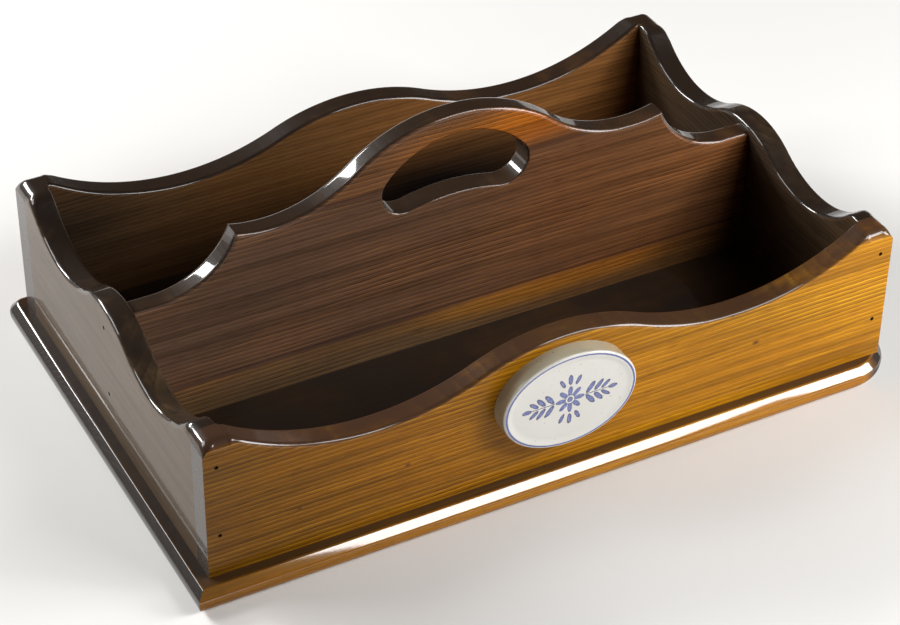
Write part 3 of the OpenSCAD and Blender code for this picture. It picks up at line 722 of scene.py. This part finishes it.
def glazeMaterial(centre, size):
    skin = Surface("white glaze with blue motif")
    look = motifLook
    flat = skin.mapped(skin.place, (1 / mm, 0, 1 / mm), (-centre.x / mm, 0, -centre.z / mm))
    shape = motifShape(skin, flat)
    tone = skin.noise(skin.mapped(flat, (0.5, 0.5, 0.9)), 2.0, 0.6)
    ink = skin.mix("MIX", skin.ramp(tone, (0.4, 0.0), (0.66, 1.0)), look["blue"], look["pale"])
    ink = skin.mix("MIX", skin.ramp(shape, (0.26, 1.0), (0.6, 0.0)), ink, look["dark"])
    mottle = skin.evenNoise(90, 3.0, 0.6)
    glaze = skin.mix("MIX", skin.ramp(mottle, (0.4, 0.0), (0.75, 0.6)), look["white"], look["cream"])
    facing = skin.maths("ABSOLUTE", skin.normal()[1])
    onWall = skin.ramp(facing, (0.2, 1.0), (0.7, 0.0))  # where the glaze is thinner
    glaze = skin.mix("MIX", onWall, glaze, look["wall"])
    glaze = skin.mix("MIX", skin.ramp(skin.span(shape, -0.1, 0.2), (0.2, 0.0), (0.7, 0.92)), glaze, ink)

    # blue line inside the rim
    lineX, lineZ = (side / 2 / mm - look["line"] for side in (size.x, size.z))
    oval = skin.vector("LENGTH", skin.mapped(flat, (1 / lineX, 0, 1 / lineZ)))
    rimLine = skin.maths("ABSOLUTE", skin.maths("SUBTRACT", oval, 1.0))
    rimLine = skin.maths("MULTIPLY_ADD", tone, 0.012, rimLine)
    glaze = skin.mix("MIX", skin.ramp(rimLine, (0.016, 0.95), (0.026, 0.0)), glaze, look["blue"])
    specks = skin.ramp(skin.evenNoise(700, 1.0), (0.24, 0.7), (0.29, 0.0))
    glaze = skin.mix("MULTIPLY", specks, glaze, look["speck"])
    return skin.finish({"Base Color": glaze, "Roughness": skin.maths("MULTIPLY_ADD", mottle, 0.15, 0.16),
                        "Normal": skin.bump(mottle, 0.08, 0.0004), "Coat Weight": 0.6,
                        "Coat Roughness": 0.06})


def makePlaque():
    low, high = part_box("plaque")
    size, centre = high - low, (low + high) / 2
    look = inMetres(plaqueLook)
    bm = bmesh.new()
    bmesh.ops.create_circle(bm, cap_ends=True, radius=1, segments=112)
    bmesh.ops.scale(bm, vec=(size.x / 2, size.z / 2, 1), verts=bm.verts[:])
    bmesh.ops.rotate(bm, verts=bm.verts[:], cent=(0, 0, 0), matrix=Matrix.Rotation(math.pi / 2, 3, "X"))
    thicken(bm, (0, -size.y, 0))
    outer = [e for e in faceEdges(bm) if middle(e).y < -size.y / 2]
    roundEdges(bm, outer, look["round"], segments=5)
    face = [f for f in bm.faces if len(f.verts) > 4 and f.calc_center_median().y < -size.y / 2]
    bmesh.ops.inset_region(bm, faces=face, thickness=look["rim"] - look["round"])
    bmesh.ops.inset_region(bm, faces=face, thickness=look["slope"], depth=-look["dish"])
    bmesh.ops.translate(bm, verts=bm.verts[:], vec=(centre.x, high.y, centre.z))
    softNormals(newPiece("plaque", bm, glazeMaterial(centre, size), "plaque"))


makePlaque()
print("plaque made")


# glue, nails and screws keep their built shapes

agedLook = dict(
    steel=dict(bright=(0.24, 0.17, 0.10), dull=(0.10, 0.06, 0.035), metallic=0.5, rough=0.55),
    brass=dict(bright=(0.60, 0.43, 0.16), dull=(0.28, 0.17, 0.06), metallic=1.0, rough=0.35),
    glue=dict(bright=(0.62, 0.58, 0.50), dull=(0.45, 0.40, 0.32), metallic=0.0, rough=0.6))


def agedMaterial(name, look):
    skin = Surface(name)
    patch = skin.evenNoise(420, 3.0, 0.6)
    scratch = skin.noise(skin.mapped(skin.place, (300, 4000, 300)), 1.0)
    tone = skin.mix("MIX", skin.ramp(patch, (0.38, 0.0), (0.66, 1.0)), look["bright"], look["dull"])
    return skin.finish({"Base Color": tone, "Metallic": look["metallic"],
                        "Roughness": skin.maths("MULTIPLY_ADD", patch, 0.3, look["rough"] - 0.1),
                        "Normal": skin.bump(scratch, 0.2, 0.0001)})


steel = agedMaterial("dull nail steel", agedLook["steel"])
brass = agedMaterial("dull screw brass", agedLook["brass"])
glue = agedMaterial("set glue", agedLook["glue"])
for node, material, slot in (("front_nails", steel, "nail_steel"), ("back_nails", steel, "nail_steel"),
                             ("divider_nails", steel, "nail_steel"), ("base_screws", brass, "screw_brass"),
                             ("plaque_glue", glue, "glue")):
    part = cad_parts[node]
    for materialSlot in part.material_slots:
        materialSlot.material = material
    if not part.material_slots:
        part.data.materials.append(material)
print("fasteners and glue finished")


# floor, lights and camera

paperLook = dict(half=8, near=0.7, far=1.4,  # metres from the middle of the tray
                 dull=(0.89, 0.875, 0.85), bright=(0.92, 0.91, 0.89), backdrop=(0.88, 0.87, 0.85))


def paperMaterial():
    skin = Surface("pale paper")
    blot = skin.evenNoise(2.2)
    tooth = skin.evenNoise(600)
    tone = skin.mix("MIX", skin.ramp(blot, (0.3, 0.0), (0.7, 1.0)), paperLook["dull"], paperLook["bright"])
    # past the lamps' reach the paper stays pale to the eye and sheds no light
    rays = skin.nodes.new("ShaderNodeLightPath").outputs
    mirrored = skin.maths("MAXIMUM", rays["Is Glossy Ray"], rays["Is Transmission Ray"])
    seen = skin.maths("MAXIMUM", rays["Is Camera Ray"], mirrored)
    away = skin.span(skin.vector("LENGTH", skin.place), paperLook["near"], paperLook["far"])
    pale = skin.maths("MULTIPLY", seen, skin.ramp(away, (0.0, 0.0), (1.0, 1.0)))
    tone = skin.mix("MIX", pale, tone, (0, 0, 0))
    return skin.finish({"Base Color": tone, "Roughness": skin.maths("MULTIPLY_ADD", blot, 0.1, 0.82),
                        "Specular IOR Level": 0.2, "Normal": skin.bump(tooth, 0.05, 0.0002),
                        "Emission Color": paperLook["backdrop"], "Emission Strength": pale})


def makeFloor():
    bm = bmesh.new()
    bmesh.ops.create_grid(bm, x_segments=1, y_segments=1, size=paperLook["half"])
    floor = linked("floor", meshFrom("floor", bm))
    floor.data.materials.append(paperMaterial())


lampLook = {  # metres and watts
    "low right panel": dict(place=(0.96, -0.70, 0.53), aim=(0, 0, 0.05), size=(0.6, 0.5), power=12.5),
    "high right panel": dict(place=(0.68, -1.06, 1.13), aim=(0.05, -0.1, 0.05), size=(0.71, 0.42),
                             power=9.2),
    "back left panel": dict(place=(-0.95, 1.53, 0.95), aim=(-0.05, 0, 0.03), size=(1.0, 0.35), power=38),
    "left panel": dict(place=(-1.10, 0.62, 0.98), aim=(-0.2, 0, 0), size=(0.6, 0.6), power=8)}
worldLook = dict(grey=(0.5, 0.5, 0.5, 1), strength=0.05)


def softbox(name, place, aim, size, power):
    data = bpy.data.lights.new(name, "AREA")
    data.shape = "RECTANGLE"
    data.size, data.size_y = size
    data.energy = power
    light = linked(name, data)
    light.location = place
    light.rotation_mode = "QUATERNION"
    light.rotation_quaternion = (Vector(aim) - Vector(place)).to_track_quat("-Z", "Y")


def makeWorld():
    world = bpy.data.worlds.new("studio")
    world.use_nodes = True
    sky = world.node_tree.nodes["Background"].inputs
    sky["Color"].default_value = worldLook["grey"]
    sky["Strength"].default_value = worldLook["strength"]
    bpy.context.scene.world = world


cameraLook = dict(azimuth=-28.20, elevation=37.24, roll=0.79, distance=1443, aim=(0, 0, 60),
                  aside=0.8, above=-28.6, sensor=36, lens=105.88)


def makeCamera():
    look = cameraLook
    azimuth, elevation, roll = (math.radians(look[key]) for key in ("azimuth", "elevation", "roll"))
    level = math.cos(elevation)
    back = Vector((math.sin(azimuth) * level, -math.cos(azimuth) * level, math.sin(elevation)))
    right = Vector((math.cos(azimuth), math.sin(azimuth), 0))
    up = back.cross(right)
    aim = (Vector(look["aim"]) + right * look["aside"] + up * look["above"]) * mm
    rolled = right * math.cos(roll) + up * math.sin(roll)
    axes = Matrix((rolled, back.cross(rolled), back)).transposed().to_4x4()
    data = bpy.data.cameras.new("camera")
    data.sensor_fit = "HORIZONTAL"
    data.sensor_width = look["sensor"]
    data.lens = look["lens"]
    camera = linked("camera", data)
    camera.matrix_world = Matrix.Translation(aim + back * look["distance"] * mm) @ axes
    bpy.context.scene.camera = camera


makeFloor()
for name, lamp in lampLook.items():
    softbox(name, **lamp)
makeWorld()
makeCamera()
bpy.context.scene.view_settings.view_transform = "Standard"
print("floor, lights and camera made")
